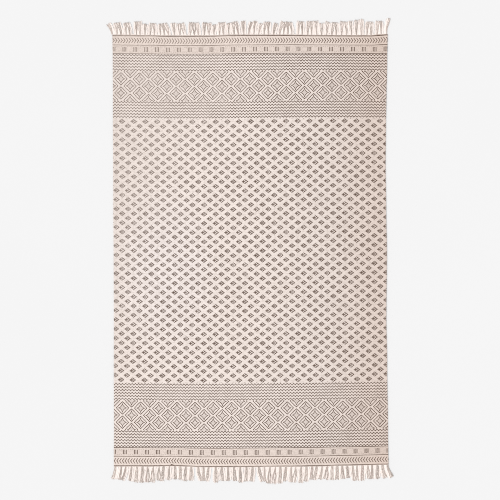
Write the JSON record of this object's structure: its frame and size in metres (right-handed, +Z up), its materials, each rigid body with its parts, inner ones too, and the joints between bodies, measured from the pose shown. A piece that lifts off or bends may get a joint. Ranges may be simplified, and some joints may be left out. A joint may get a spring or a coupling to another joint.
{
  "type": "cotton rug",
  "caption": "Flat woven rectangular cotton rug with a printed geometric face and a loose yarn fringe along both short ends.",
  "frame": {"origin": "on the surface the rug lies on, under the middle of its whole box", "axes": "+Y along the rug's length towards its head end, +X across its width, +Z up out of the printed face"},
  "size_m": [1.2436, 2.0384, 0.0042],
  "materials": {
    "printed_cloth": "matt flat-woven cotton, warm off-white ground printed in taupe",
    "fringe_yarn": "matt undyed cotton yarn, loosely twisted"
  },
  "bodies": {
    "root": {"rug_cloth": "printed_cloth", "fringe_head": "fringe_yarn", "fringe_foot": "fringe_yarn"}
  },
  "joints": []
}
